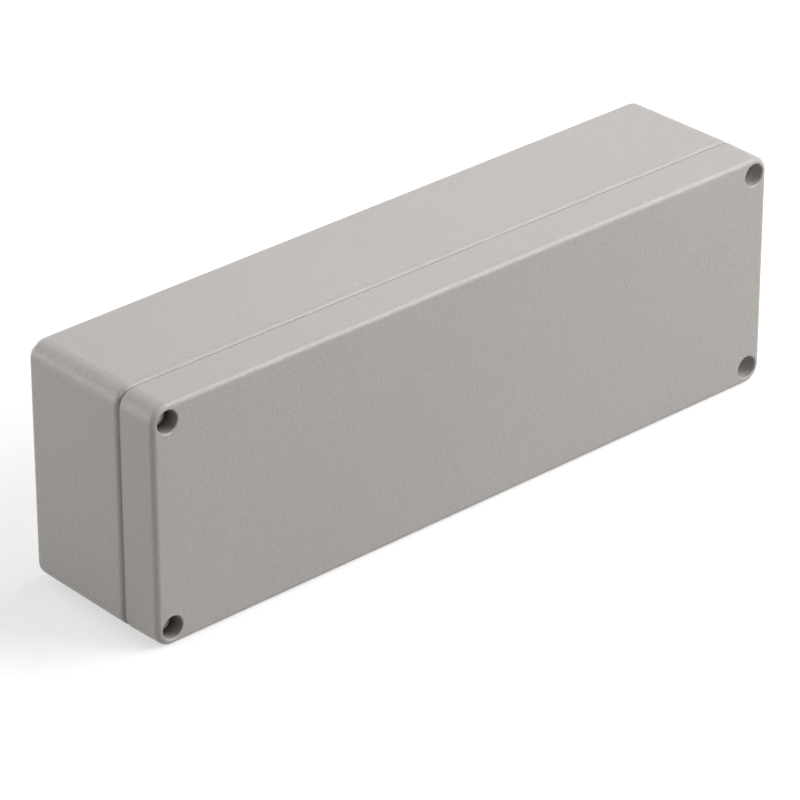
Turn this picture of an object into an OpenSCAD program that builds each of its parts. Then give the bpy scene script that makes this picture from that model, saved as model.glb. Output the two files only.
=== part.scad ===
// Die cast aluminium box: a sealed equipment enclosure of two castings.
// It is drawn lying on its back with the lid up, then stood on a long side.

/* [Enclosure] */
// Length of the box
box_length = 250; // [180:1:400]
// Width of the box, which is its height when it stands on a long side
box_width = 80; // [76:1:160]
// Depth of the base casting, from its back face to the joint
base_depth = 42; // [36:1:90]
// Depth of the lid casting, from the joint to its front face
lid_depth = 15; // [14.5:0.5:30]
// Radius of the outline's corners at the joint
corner_radius = 6; // [5:0.5:10]
// Draft of the base's outer walls, in degrees
base_draft = 0.75; // [0.25:0.25:2]
// Draft of the lid's outer walls, in degrees
lid_draft = 1; // [0.25:0.25:2]

/* [Edges] */
// Rounding of the lid's front edge
front_round = 1.8; // [1:0.1:3]
// Rounding of the base's back edge
back_round = 2; // [1:0.1:3]
// Rounding of the base's rim, which makes the groove along the joint
rim_round = 2.2; // [0.4:0.1:2.4]
// Rounding of the lid's rim
lid_rim_round = 0.8; // [0.2:0.1:1]
// Edge break at the mouths of the holes
hole_break = 0.3; // [0.1:0.1:0.4]

/* [Walls] */
// Side wall of the base at the joint
side_wall = 4; // [4:0.1:6]
// Thickness of the base's floor
floor_wall = 3.5; // [2.5:0.1:5]
// Thickness of the lid's face
face_wall = 3.5; // [2.5:0.1:5]
// Draft of the inner walls, in degrees
inner_draft = 1; // [0.5:0.25:2]
// Radius of the chamber's corners at the joint
chamber_radius = 4; // [3.5:0.25:4.25]
// Radius of the posts' corners that stand into the chamber
post_radius = 4.5; // [3.5:0.25:4.75]
// Rounding where the base's inner walls meet its floor
floor_round = 1.8; // [0.8:0.1:2]
// Rounding where the lid's inner walls meet its face
pocket_round = 1; // [0.4:0.1:1]

/* [Seal] */
// Width of the sealing rib on the base
rib_width = 1.4; // [1:0.1:1.6]
// Height of the sealing rib above the joint
rib_height = 1.4; // [0.8:0.1:2]
// Gap between the rib and each side of the lid's groove
rib_gap = 0.9; // [0.5:0.1:1]
// Height of the gasket as it lies pressed
gasket_height = 2; // [1.2:0.1:2.5]
// Gap between the gasket and each side of its groove
gasket_gap = 0.1; // [0.05:0.05:0.2]
// Lip between the groove and the lid's pocket
groove_lip = 1.6; // [1:0.1:2]

/* [Screw posts] */
// Distance of the screws and fixing holes from the outline
post_inset = 6; // [6:0.25:8]
// Distance from a lid screw to the fixing hole beside it
fixing_pitch = 8; // [8:0.25:10]
// Diameter of the holes that fix the box to a wall
fixing_hole = 4.5; // [3.5:0.1:5.5]
// Diameter of the channel for a fixing screw's head
channel_diameter = 8; // [7:0.1:8.5]
// Metal left under a fixing screw's head
channel_floor = 5; // [3:0.5:10]
// Metal between a fixing channel and the chamber
post_wall = 3; // [2:0.1:5]

/* [Lid screws] */
// Diameter of the screw's thread
screw_diameter = 4; // [3:0.1:4.2]
// Diameter of the plain neck that keeps the screw captive
neck_diameter = 3; // [2.4:0.1:3.2]
// Diameter of the screw's head
head_diameter = 7; // [6:0.1:7.2]
// Height of the screw's head
head_height = 2.6; // [2:0.1:3]
// Depth of the head's top below the lid's face when the screw is tight
head_sink = 5.1; // [4.5:0.1:8]
// Reach of the head's cross recess, from one wing's tip to the opposite one's
cross_reach = 4.4; // [3.6:0.1:4.6]
// Width of the cross recess's wings
cross_width = 0.9; // [0.7:0.1:1.2]
// Depth of the cross recess
cross_depth = 1.7; // [1.2:0.1:1.9]
// Length of the threaded end
thread_length = 8; // [5:0.5:12]
// Travel of the loosened screw before its thread meets the captive washer
screw_travel = 7; // [4:0.5:8]
// Thickness of the captive washer
captive_thickness = 1; // [0.6:0.1:1.4]
// Diameter of the captive washer
captive_diameter = 7.5; // [6:0.1:8]

/* [Earth terminals] */
// Diameter of the earth screws' thread
earth_diameter = 4; // [3:0.1:5]
// Diameter of the earth screws' head
earth_head_diameter = 8; // [7:0.1:9]
// Height of the earth screws' head
earth_head_height = 2.4; // [1.8:0.1:3]
// Width of the earth screws' driving slot
slot_width = 1.2; // [0.8:0.1:1.6]
// Depth of the earth screws' driving slot
slot_depth = 1.1; // [0.6:0.1:1.4]
// Length of the earth screws under the head
earth_length = 8; // [6:0.5:8.5]
// Diameter of the earth bosses
earth_boss_diameter = 10; // [9:0.1:14]
// Height of the base's earth boss above the floor
base_earth_boss = 7; // [6:0.5:10]
// Height of the lid's earth boss under the lid's face
lid_earth_boss = 6; // [6:0.5:7]
// Distance of the earth bosses from the end of the box
earth_inset = 22; // [20:0.5:30]
// Diameter of the earth terminals' plain washer
washer_diameter = 9; // [8:0.1:10]
// Thickness of the earth terminals' plain washer
washer_thickness = 0.8; // [0.5:0.1:1.2]
// Diameter of the earth terminals' spring washer
spring_diameter = 7.6; // [6.5:0.1:8]
// Thickness of the earth terminals' spring washer
spring_thickness = 0.9; // [0.6:0.1:1.2]

/* [Mounting bosses] */
// Distance between the bosses along the box
boss_spacing_x = 190; // [80:1:196]
// Distance between the bosses across the box
boss_spacing_y = 44; // [30:1:50]
// Diameter of the mounting bosses
boss_diameter = 8; // [7:0.1:10]
// Height of the mounting bosses above the floor
boss_height = 6; // [4:0.5:12]
// Diameter of the tapping holes in the mounting bosses
boss_hole = 3.3; // [2.5:0.1:4]

/* [Fits] */
// Radial clearance of a screw in its tapped hole
thread_clearance = 0.05; // [0.02:0.01:0.1]
// Radial clearance of a screw in a plain hole
hole_clearance = 0.25; // [0.1:0.05:0.4]
// Radial clearance of a screw's head in its counterbore
head_clearance = 0.25; // [0.15:0.05:0.4]
// Radial clearance of a captive washer in its recess and on the neck
captive_clearance = 0.08; // [0.04:0.01:0.1]
// Depth of a tapped hole past the end of its screw
hole_past_screw = 2; // [1:0.5:3]

/* [Hidden] */
$fn = 64;

paint = [0.66, 0.64, 0.62];
steel = [0.78, 0.78, 0.76];
rubber = [0.12, 0.12, 0.12];
nylon = [0.92, 0.91, 0.86];
brass = [0.80, 0.66, 0.36];

// Overlap that lets a cut run past the face it opens
cut = 1;
box_depth = base_depth + lid_depth;
joint_z = base_depth;
post_x = box_length / 2 - post_inset;
screw_y = box_width / 2 - post_inset;
fixing_y = screw_y - fixing_pitch;

// The chamber is a cross: a wide middle between the posts, and a longer
// narrow stretch that runs out between the posts of each end.
post_reach = post_inset + channel_diameter / 2 + post_wall;
middle_x = box_length - 2 * post_reach;
middle_y = box_width - 2 * side_wall;
stretch_x = box_length - 2 * side_wall;
stretch_y = 2 * (fixing_y - channel_diameter / 2 - post_wall);

// Both turns of the outline beside a post fit in the stretch's extra length
post_depth = post_reach - side_wall;
shortest_run = 0.25;
corner_turn = min(chamber_radius, post_depth / 2 - shortest_run);
post_turn = min(post_radius, post_depth - corner_turn - shortest_run);

// Lines of one quadrant of the cross that its walls are measured from, and
// the axis of its post corner
middle_line = [middle_x / 2 - corner_turn, middle_y / 2 - corner_turn];
stretch_line = [stretch_x / 2 - corner_turn, stretch_y / 2 - corner_turn];
post_axis = [middle_x / 2 + post_turn, stretch_y / 2 + post_turn];

groove_depth = rib_height + gasket_height;
groove_in = -rib_gap;
groove_out = rib_width + rib_gap;
pocket_grow = groove_in - groove_lip;
pocket_depth = lid_depth - face_wall;
pocket_turn = corner_turn + pocket_grow - pocket_depth * tan(inner_draft);
pocket_fillet = min(pocket_round, pocket_turn - cut / 10);

// Play left between thread and captive washer at the end of the travel
travel_play = 0.2;
head_seat_z = box_depth - head_sink - head_height;
thread_top_z = joint_z - screw_travel - travel_play;
screw_tip_z = thread_top_z - thread_length;
captive_hole = neck_diameter + 2 * captive_clearance;
tip_chamfer = 0.5;
head_chamfer = 0.4;
// Reach of the cross recess at its floor, and the slope of its wings' tips
cross_foot = 2.2;
cross_slope = (cross_reach - cross_foot) / 2 / cross_depth;

base_earth_z = floor_wall + base_earth_boss;
lid_earth_z = box_depth - face_wall - lid_earth_boss;
earth_x = -(box_length / 2 - earth_inset);
earth_stack = washer_thickness + spring_thickness;
// Space left under the tip of an earth screw
earth_tip_gap = 0.7;
earth_hole_depth = earth_length - earth_stack + earth_tip_gap;
// Metal left at the foot of a mounting boss under its hole
boss_skin = 1.5;
spring_gap = 0.8;
spring_slant = 20;

// Turns the box from lying on its back to standing on a long side,
// with its lid facing -Y.
module stood_up() {
  translate([0, box_depth / 2, box_width / 2]) rotate([90, 0, 0]) children();
}

// Copies children into the four quadrants.
module quadrants() {
  for (sx = [0, 1], sy = [0, 1])
    mirror([sx, 0, 0]) mirror([0, sy, 0]) children();
}

// Straight stretch of a wall: a half section drawn along X, facing +Y.
module run_x(from_x, to_x, y) {
  if (to_x > from_x) translate([from_x, y, 0]) rotate([90, 0, 90])
    linear_extrude(to_x - from_x) children();
}

// Straight stretch of a wall: a half section drawn along Y, facing +X.
module run_y(x, from_y, to_y) {
  if (to_y > from_y) translate([x, to_y, 0]) rotate([90, 0, 0])
    linear_extrude(to_y - from_y) children();
}

// Corner of a wall: a half section turned through a quarter about its axis.
module turn_at(x, y) {
  translate([x, y, 0]) rotate_extrude(angle = 90) children();
}

// Reach of a drafted side at height z, for a block widest at its top.
function side_at(z, reach, height, draft) = reach - (height - z) * tan(draft);

// Piece of a square edge outside a rounding about point at, where one wall
// faces the way across and the floor or top faces the way along.
module edge_waste(at, radius, across, along) {
  far = radius + cut;
  difference() {
    polygon([at, at + far * across, at + far * (across + along), at + far * along]);
    translate(at) circle(radius);
  }
}

// Half section of a drafted block from its corner axis outwards.
module half_section(reach, height, draft, foot, lip) {
  outward = [cos(draft), -sin(draft)];
  foot_x = side_at(foot, reach, height, draft) - foot / cos(draft);
  lip_x = side_at(height - lip, reach, height, draft) - lip / cos(draft);
  difference() {
    polygon([
      [0, 0],
      [side_at(0, reach, height, draft), 0],
      [reach, height],
      [0, height]
    ]);
    if (foot > 0) edge_waste([foot_x, foot], foot, outward, [0, -1]);
    if (lip > 0) edge_waste([lip_x, height - lip], lip, outward, [0, 1]);
  }
}

// Drafted block with round corners, widest at its top.
// foot and lip round the lower and the upper edge.
module drafted_block(x, y, radius, height, draft, foot, lip) {
  core = [x / 2 - radius, y / 2 - radius, height];
  quadrants() {
    cube(core);
    run_x(0, core.x, core.y) half_section(radius, height, draft, foot, lip);
    run_y(core.x, 0, core.y) half_section(radius, height, draft, foot, lip);
    turn_at(core.x, core.y) half_section(radius, height, draft, foot, lip);
  }
}

// Walls of the cross in one quadrant, apart from the post's corner.
module cross_walls() {
  run_x(0, middle_line.x, middle_line.y) children();
  turn_at(middle_line.x, middle_line.y) children();
  run_y(middle_line.x, post_axis.y, middle_line.y) children();
  run_x(post_axis.x, stretch_line.x, stretch_line.y) children();
  turn_at(stretch_line.x, stretch_line.y) children();
  run_y(stretch_line.x, 0, stretch_line.y) children();
}

// Wall round a post's corner: the same section, turned about the post.
module post_wall_turn() {
  translate(post_axis) rotate([0, 0, 180]) rotate_extrude(angle = 90)
    translate([post_turn + corner_turn, 0]) mirror([1, 0]) children();
}

// Fills the hollow from the turned wall to the lines of the walls.
module post_fill(height) {
  near = post_turn + corner_turn;
  translate(post_axis) rotate([0, 0, 180]) rotate_extrude(angle = 90)
    translate([near, 0]) square([near * (sqrt(2) - 1) + cut, height]);
}

// Hollow with the cross's outline, grown outwards by grow at its mouth.
// It is open and widest at the top, and rounded along its floor. Its walls
// run on past the mouth, so that it opens whatever stands on its rim.
module chamber(grow, height, foot, past = cut) {
  reach = corner_turn + grow + past * tan(inner_draft);
  tall = height + past;
  quadrants() {
    cross_walls() half_section(reach, tall, inner_draft, foot, 0);
    post_wall_turn() half_section(reach, tall, inner_draft, foot, 0);
    post_fill(tall);
    cube([middle_line.x, middle_line.y, tall]);
    cube([stretch_line.x, stretch_line.y, tall]);
  }
}

// Upright ring with the cross's outline, from one growth to another.
module outline_ring(inner, outer, height) {
  quadrants() {
    cross_walls() translate([corner_turn + inner, 0]) square([outer - inner, height]);
    post_wall_turn() translate([corner_turn + inner, 0]) square([outer - inner, height]);
  }
}

// Places children at the four lid screws.
module at_screws() {
  for (sx = [-1, 1], sy = [-1, 1])
    translate([sx * post_x, sy * screw_y, 0]) children();
}

// Places children at the four fixing holes.
module at_fixings() {
  for (sx = [-1, 1], sy = [-1, 1])
    translate([sx * post_x, sy * fixing_y, 0]) children();
}

// Places children at the four mounting bosses.
module at_bosses() {
  for (sx = [-1, 1], sy = [-1, 1])
    translate([sx * boss_spacing_x / 2, sy * boss_spacing_y / 2, floor_wall])
      children();
}

// Round hole downwards from z with a broken edge at its mouth.
module drilled(radius, from_z, depth) {
  translate([0, 0, from_z - depth]) cylinder(r = radius, h = depth + cut);
  translate([0, 0, from_z - hole_break])
    cylinder(r1 = radius, r2 = radius + hole_break + cut, h = hole_break + cut);
}

// Boss with a foot that spreads into the wall that carries it.
module boss(diameter, height) {
  cylinder(d = diameter, h = height);
  cylinder(d1 = diameter + 2 * floor_round, d2 = diameter, h = floor_round);
}

// Tapped hole from the top of an earth boss downwards.
module earth_hole() {
  translate([0, 0, -earth_hole_depth])
    cylinder(r = earth_diameter / 2 + thread_clearance, h = earth_hole_depth + cut);
}

module base_casting() {
  color(paint) stood_up() difference() {
    union() {
      difference() {
        union() {
          drafted_block(box_length, box_width, corner_radius, base_depth,
            base_draft, back_round, rim_round);
          translate([0, 0, joint_z - cut])
            outline_ring(-cut, rib_width, rib_height + cut);
        }
        translate([0, 0, floor_wall])
          chamber(0, base_depth - floor_wall, floor_round, rib_height + cut);
      }
      at_bosses() boss(boss_diameter, boss_height);
      translate([earth_x, 0, floor_wall]) boss(earth_boss_diameter, base_earth_boss);
    }
    at_screws() {
      drilled(screw_diameter / 2 + hole_clearance, joint_z, joint_z - thread_top_z);
      translate([0, 0, screw_tip_z - hole_past_screw])
        cylinder(r = screw_diameter / 2 + thread_clearance,
          h = thread_length + hole_past_screw + cut);
    }
    at_fixings() {
      drilled(channel_diameter / 2, joint_z, joint_z - channel_floor);
      translate([0, 0, -cut])
        cylinder(d = fixing_hole, h = channel_floor + 2 * cut);
    }
    at_bosses() translate([0, 0, boss_skin])
      cylinder(d = boss_hole, h = boss_height);
    translate([earth_x, 0, base_earth_z]) earth_hole();
  }
}

module lid_casting() {
  color(paint) stood_up() difference() {
    union() {
      difference() {
        translate([0, 0, box_depth]) mirror([0, 0, 1])
          drafted_block(box_length, box_width, corner_radius, lid_depth,
            lid_draft, front_round, lid_rim_round);
        translate([0, 0, box_depth - face_wall]) mirror([0, 0, 1])
          chamber(pocket_grow, pocket_depth, pocket_fillet);
      }
      translate([earth_x, 0, box_depth - face_wall]) mirror([0, 0, 1])
        boss(earth_boss_diameter, lid_earth_boss);
    }
    translate([0, 0, joint_z - cut])
      outline_ring(groove_in, groove_out, groove_depth + cut);
    at_screws() {
      drilled(head_diameter / 2 + head_clearance, box_depth,
        head_sink + head_height);
      translate([0, 0, joint_z - cut]) {
        cylinder(r = screw_diameter / 2 + hole_clearance, h = lid_depth);
        cylinder(r = captive_diameter / 2 + captive_clearance,
          h = captive_thickness + cut);
      }
    }
    translate([earth_x, 0, lid_earth_z]) mirror([0, 0, 1]) earth_hole();
  }
}

module lid_gasket() {
  color(rubber) stood_up()
    translate([0, 0, joint_z + rib_height])
      outline_ring(groove_in + gasket_gap, groove_out - gasket_gap,
        gasket_height);
}

// Cross recess below a head's top, narrowing towards its floor.
module cross_recess() {
  translate([0, 0, -cross_depth]) intersection() {
    cylinder(r1 = cross_foot / 2, r2 = cross_reach / 2 + cross_slope * cut,
      h = cross_depth + cut);
    for (turn = [0, 90]) rotate(turn)
      translate([-cross_reach, -cross_width / 2, 0])
        cube([2 * cross_reach, cross_width, cross_depth + cut]);
  }
}

// Cheese head screw with a cross recess and a thin neck.
module lid_screw(side_x, side_y) {
  shank = head_seat_z - screw_tip_z;
  neck_end = thread_top_z - screw_tip_z;
  head_top = shank + head_height;
  color(steel) stood_up() translate([side_x * post_x, side_y * screw_y, screw_tip_z])
    difference() {
      rotate_extrude() polygon([
        [0, 0],
        [screw_diameter / 2 - tip_chamfer, 0],
        [screw_diameter / 2, tip_chamfer],
        [screw_diameter / 2, neck_end],
        [neck_diameter / 2, neck_end],
        [neck_diameter / 2, shank],
        [head_diameter / 2, shank],
        [head_diameter / 2, head_top - head_chamfer],
        [head_diameter / 2 - head_chamfer, head_top],
        [0, head_top]
      ]);
      translate([0, 0, head_top]) cross_recess();
    }
}

// Washer in the lid's underside that the screw's thread can't pass.
module captive_washer(side_x, side_y) {
  color(nylon) stood_up() translate([side_x * post_x, side_y * screw_y, joint_z])
    ring(captive_diameter, captive_hole, captive_thickness);
}

module ring(outer, inner, height) {
  difference() {
    cylinder(d = outer, h = height);
    translate([0, 0, -cut]) cylinder(d = inner, h = height + 2 * cut);
  }
}

// Puts a part of an earth terminal on its boss, measured up from the boss.
module on_base_earth() {
  stood_up() translate([earth_x, 0, base_earth_z]) children();
}

module on_lid_earth() {
  stood_up() translate([earth_x, 0, lid_earth_z]) mirror([0, 0, 1]) children();
}

module earth_washer() {
  color(brass) ring(washer_diameter, earth_diameter + 2 * hole_clearance,
    washer_thickness);
}

// Spring washer pressed flat, with the slanted gap of its split.
module earth_spring_washer() {
  color(steel) translate([0, 0, washer_thickness]) difference() {
    ring(spring_diameter, earth_diameter + 2 * hole_clearance, spring_thickness);
    translate([spring_diameter / 2, 0, spring_thickness / 2]) rotate([spring_slant, 0, 0])
      cube([spring_diameter, spring_gap, 4 * spring_thickness], center = true);
  }
}

module earth_screw() {
  head_top = earth_length + earth_head_height;
  color(steel) translate([0, 0, earth_stack - earth_length]) difference() {
    rotate_extrude() polygon([
      [0, 0],
      [earth_diameter / 2 - tip_chamfer, 0],
      [earth_diameter / 2, tip_chamfer],
      [earth_diameter / 2, earth_length],
      [earth_head_diameter / 2, earth_length],
      [earth_head_diameter / 2, head_top - head_chamfer],
      [earth_head_diameter / 2 - head_chamfer, head_top],
      [0, head_top]
    ]);
    translate([-earth_head_diameter, -slot_width / 2, head_top - slot_depth])
      cube([2 * earth_head_diameter, slot_width, slot_depth + cut]);
  }
}

base_casting();
lid_casting();
lid_gasket();
lid_screw(-1, 1);  // lid_screw_upper_left
lid_screw(-1, -1);  // lid_screw_lower_left
lid_screw(1, 1);  // lid_screw_upper_right
lid_screw(1, -1);  // lid_screw_lower_right
captive_washer(-1, 1);  // captive_washer_upper_left
captive_washer(-1, -1);  // captive_washer_lower_left
captive_washer(1, 1);  // captive_washer_upper_right
captive_washer(1, -1);  // captive_washer_lower_right
on_base_earth() earth_screw();  // base_earth_screw
on_base_earth() earth_spring_washer();  // base_earth_spring_washer
on_base_earth() earth_washer();  // base_earth_washer
on_lid_earth() earth_screw();  // lid_earth_screw
on_lid_earth() earth_spring_washer();  // lid_earth_spring_washer
on_lid_earth() earth_washer();  // lid_earth_washer
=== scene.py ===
"""Finish, light and camera for the die cast aluminium box.

The two castings keep the shape of their CAD nodes. They are powder coated
outside, and bare inside and where they meet. The screws, washers, seal and
earth terminals are modelled again, with the threads, sloping recesses, splits
and rounded edges that their CAD nodes leave out.
"""

import logging
import math
from abc import ABC, abstractmethod
from dataclasses import dataclass
from enum import Enum
from typing import ClassVar

import bmesh
import bpy
from mathutils import Matrix, Vector


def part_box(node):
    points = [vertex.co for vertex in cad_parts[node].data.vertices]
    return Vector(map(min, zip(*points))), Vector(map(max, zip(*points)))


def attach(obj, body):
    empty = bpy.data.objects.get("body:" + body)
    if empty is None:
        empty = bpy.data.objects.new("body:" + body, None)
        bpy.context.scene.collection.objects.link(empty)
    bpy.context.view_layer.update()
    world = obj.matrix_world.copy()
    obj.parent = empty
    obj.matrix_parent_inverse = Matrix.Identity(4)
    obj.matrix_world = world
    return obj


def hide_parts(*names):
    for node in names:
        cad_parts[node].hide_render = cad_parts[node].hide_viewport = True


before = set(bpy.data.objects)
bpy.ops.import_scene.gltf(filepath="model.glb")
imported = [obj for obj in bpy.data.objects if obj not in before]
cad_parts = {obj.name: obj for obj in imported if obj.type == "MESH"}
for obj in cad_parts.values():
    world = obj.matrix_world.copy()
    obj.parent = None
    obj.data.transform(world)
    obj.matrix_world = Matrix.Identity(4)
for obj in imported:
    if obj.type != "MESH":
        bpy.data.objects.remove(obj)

LOG = logging.getLogger("die_cast_box")
MM = 0.001
FULL_TURN = 2 * math.pi
QUARTER = math.pi / 2
WELD = 1e-4
ALIGNED = 0.9
WHITE = (1, 1, 1, 1)
Socket = bpy.types.NodeSocket
Material = bpy.types.Material
Mesh = bmesh.types.BMesh
Front = list[bmesh.types.BMVert | bmesh.types.BMEdge]
Pair = tuple[float, float]
Colour = tuple[float, float, float]
Profile = list[Pair]


class Slot(Enum):
    """Material slots of the record."""

    PAINT = "paint"
    STEEL = "screw_steel"
    SEAL = "gasket"
    NYLON = "nylon"
    BRASS = "brass"


class Facing(Enum):
    """Direction in which a piece's own upward axis points in the box."""

    FRONT = -1
    BACK = 1


def filled(node: bpy.types.Node, **values: object) -> bpy.types.Node:
    """Set some of a node's inputs.

    Args:
        node: The node.
        values: The values, by the inputs' names in lower case with underscores.

    Returns:
        The node.
    """
    for key, value in values.items():
        node.inputs[key.replace("_", " ").title()].default_value = value
    return node


def placed(name: str, data: bpy.types.ID) -> bpy.types.Object:
    """Put a new object in the scene.

    Args:
        name: The object's name.
        data: Its mesh, lamp or camera.

    Returns:
        The object.
    """
    made = bpy.data.objects.new(name, data)
    bpy.context.scene.collection.objects.link(made)
    return made


# Finishes


class Surface:
    """A material's node tree, with the steps that the finishes share."""

    def __init__(self, name: str, pattern: str) -> None:
        """Start a material.

        Args:
            name: The material's name.
            pattern: The texture coordinate that its patterns are laid on.
        """
        self.material = bpy.data.materials.new(name)
        self.material.use_nodes = True
        self.tree = self.material.node_tree
        self.shader = self.tree.nodes["Principled BSDF"]
        self.place = self.add("ShaderNodeTexCoord").outputs[pattern]

    def add(self, kind: str, **values: object) -> bpy.types.Node:
        """Add a node of one kind, with some of its inputs set."""
        return filled(self.tree.nodes.new(kind), **values)

    def join(self, source: Socket, target: Socket) -> None:
        """Link one socket to another."""
        self.tree.links.new(source, target)

    def stretched(self, scale: tuple[float, float, float]) -> Socket:
        """Scale the coordinates along each axis.

        Args:
            scale: The scale along X, Y and Z.

        Returns:
            The scaled coordinates.
        """
        node = self.add("ShaderNodeMapping", scale=scale)
        self.join(self.place, node.inputs["Vector"])
        return node.outputs["Vector"]

    def noise(
        self,
        grain: float,
        detail: float = 2.0,
        twist: float = 0.0,
        along: Socket | None = None,
    ) -> Socket:
        """Lay a noise over the piece.

        Args:
            grain: Size of the noise's features, in metres.
            detail: Number of finer layers.
            twist: How much the noise bends itself.
            along: Coordinates to use in place of the piece's own.

        Returns:
            The noise, from 0 to 1.
        """
        node = self.add(
            "ShaderNodeTexNoise", scale=1 / grain, detail=detail, distortion=twist
        )
        self.join(along or self.place, node.inputs["Vector"])
        return node.outputs["Fac"]

    def pebbles(self, grain: float, softness: float) -> Socket:
        """Lay rounded cells over the piece.

        Args:
            grain: Size of a cell, in metres.
            softness: How far neighbouring cells flow together.

        Returns:
            The distance to the nearest cell's middle.
        """
        node = self.add("ShaderNodeTexVoronoi")
        node.feature = "SMOOTH_F1"
        filled(node, scale=1 / grain, smoothness=softness)
        self.join(self.place, node.inputs["Vector"])
        return node.outputs["Distance"]

    def spread(
        self,
        value: Socket,
        low: float,
        high: float,
        start: float = 0.3,
        full: float = 0.7,
    ) -> Socket:
        """Spread part of a measure, or of a pattern, between two values.

        Args:
            value: The measure.
            low: The result at its start.
            high: The result at its full value.
            start: The measure at which the part starts.
            full: The measure at which it ends.

        Returns:
            The spread value.
        """
        node = self.add("ShaderNodeMapRange", from_min=start, from_max=full)
        filled(node, to_min=low, to_max=high)
        self.join(value, node.inputs["Value"])
        return node.outputs["Result"]

    def tint(self, value: Socket, low: Colour, high: Colour) -> Socket:
        """Blend two colours by a pattern.

        Args:
            value: The pattern.
            low: The colour where the pattern is low.
            high: The colour where the pattern is high.

        Returns:
            The blended colour.
        """
        sockets = self._mix(self.spread(value, 0, 1), high)
        sockets["A_Color"].default_value = (*low, 1)
        return sockets["Result_Color"]

    def depth(self) -> Socket:
        """Measure how deep in the box each point lies.

        Returns:
            The point's Y.
        """
        apart = self.add("ShaderNodeSeparateXYZ")
        self.join(self.place, apart.inputs[0])
        return apart.outputs["Y"]

    def away(self, value: Socket, middle: float) -> Socket:
        """Measure how far a value is from a middle, on either side.

        Args:
            value: The value.
            middle: The middle.

        Returns:
            The distance.
        """
        offset = self.add("ShaderNodeMath")
        offset.operation = "SUBTRACT"
        self.join(value, offset.inputs[0])
        offset.inputs[1].default_value = middle
        size = self.add("ShaderNodeMath")
        size.operation = "ABSOLUTE"
        self.join(offset.outputs[0], size.inputs[0])
        return size.outputs[0]

    def stained(
        self,
        clean: Socket,
        stain: Colour,
        value: Socket,
        start: float,
        full: float,
    ) -> Socket:
        """Let a stain come over a colour.

        Args:
            clean: The colour without the stain.
            stain: The stain's colour.
            value: The measure that the stain follows.
            start: The measure at which the stain starts.
            full: The measure at which it covers the colour.

        Returns:
            The stained colour.
        """
        sockets = self._mix(self.spread(value, 0, 1, start, full), stain)
        self.join(clean, sockets["A_Color"])
        return sockets["Result_Color"]

    def _mix(self, share: Socket, colour: Colour) -> dict[str, Socket]:
        """Add a colour mix.

        Args:
            share: How much of the second colour there is.
            colour: The second colour.

        Returns:
            The mix's sockets by their identifiers.
        """
        mix = self.add("ShaderNodeMix")
        mix.data_type = "RGBA"
        sockets = {s.identifier: s for s in [*mix.inputs, *mix.outputs]}
        self.join(share, sockets["Factor_Float"])
        sockets["B_Color"].default_value = (*colour, 1)
        return sockets

    def rough(self, value: Socket, low: float, high: float) -> None:
        """Vary the roughness by a pattern."""
        self.join(self.spread(value, low, high), self.shader.inputs["Roughness"])

    def colour(self, value: Socket) -> None:
        """Use a colour pattern as the base colour."""
        self.join(value, self.shader.inputs["Base Color"])

    def bump(
        self, height: Socket, depth: float, strength: float, over: Socket | None = None
    ) -> Socket:
        """Raise the surface by a pattern.

        Args:
            height: The pattern.
            depth: Height of the relief, in metres.
            strength: How much of the relief is kept.
            over: A relief that this one lies on.

        Returns:
            The bumped normal.
        """
        node = self.add("ShaderNodeBump", distance=depth, strength=strength)
        self.join(height, node.inputs["Height"])
        if over:
            self.join(over, node.inputs["Normal"])
        return node.outputs["Normal"]

    def relief(self, normal: Socket) -> None:
        """Use a bumped normal on the shader."""
        self.join(normal, self.shader.inputs["Normal"])


@dataclass(frozen=True)
class Finish(ABC):
    """A finish that makes one material."""

    name: str

    pattern: ClassVar[str] = "Object"

    def make(self) -> Material:
        """Build the finish's material.

        Returns:
            The material.
        """
        surface = Surface(self.name, self.pattern)
        self.lay(surface)
        return surface.material

    @abstractmethod
    def lay(self, surface: Surface) -> None:
        """Lay the finish on its material."""


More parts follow.
